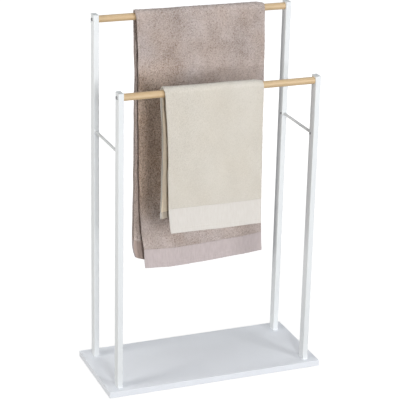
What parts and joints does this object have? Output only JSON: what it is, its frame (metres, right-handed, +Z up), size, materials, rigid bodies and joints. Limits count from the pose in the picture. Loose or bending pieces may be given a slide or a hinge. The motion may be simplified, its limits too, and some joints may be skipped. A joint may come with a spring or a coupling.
{
  "type": "freestanding towel stand",
  "caption": "Freestanding towel stand: white base board, slim uprights, round wooden bars at staggered heights, side tie rods, and towels hung over the bars.",
  "frame": {"origin": "middle of the footprint, on the surface the stand rests on", "axes": "+X along the bars, +Y from the low front bar to the tall rear bar, +Z up"},
  "size_m": [0.55, 0.245, 0.89],
  "materials": {
    "board_white": "smooth white paint, satin",
    "steel_white": "fine white powder coat, satin",
    "steel_white_rod": "white powder coat, satin",
    "cap_white": "matt moulded",
    "bar_wood": "light hardwood, clear satin lacquer",
    "insert_brass": "plain turned",
    "steel_plain": "zinc plated",
    "screw_steel": "dark satin steel",
    "pad": "thin pale pads",
    "towel_taupe": "terry pile, taupe",
    "towel_ivory": "terry pile, ivory"
  },
  "bodies": {
    "stand": {"base_board": "board_white", "base_feet": "pad", "front_left_post": "steel_white", "front_right_post": "steel_white", "rear_left_post": "steel_white", "rear_right_post": "steel_white", "front_left_cap": "cap_white", "front_right_cap": "cap_white", "rear_left_cap": "cap_white", "rear_right_cap": "cap_white", "front_left_foot_plug": "steel_plain", "front_right_foot_plug": "steel_plain", "rear_left_foot_plug": "steel_plain", "rear_right_foot_plug": "steel_plain", "front_bar": "bar_wood", "rear_bar": "bar_wood", "bar_inserts": "insert_brass", "base_bolts": "steel_plain", "base_washers": "steel_plain", "bar_screws": "screw_steel", "brace_screws": "screw_steel", "left_brace": "steel_white_rod", "right_brace": "steel_white_rod"},
    "bath_towel": {"bath_towel": "towel_taupe"},
    "hand_towel": {"hand_towel": "towel_ivory"}
  },
  "joints": [
    {"name": "bath_towel_slide", "type": "slide", "parent": "stand", "child": "bath_towel", "axis": [1, 0, 0], "range_m": [-0.082, 0.037]},
    {"name": "hand_towel_slide", "type": "slide", "parent": "stand", "child": "hand_towel", "axis": [1, 0, 0], "range_m": [-0.094, 0.127]}
  ]
}
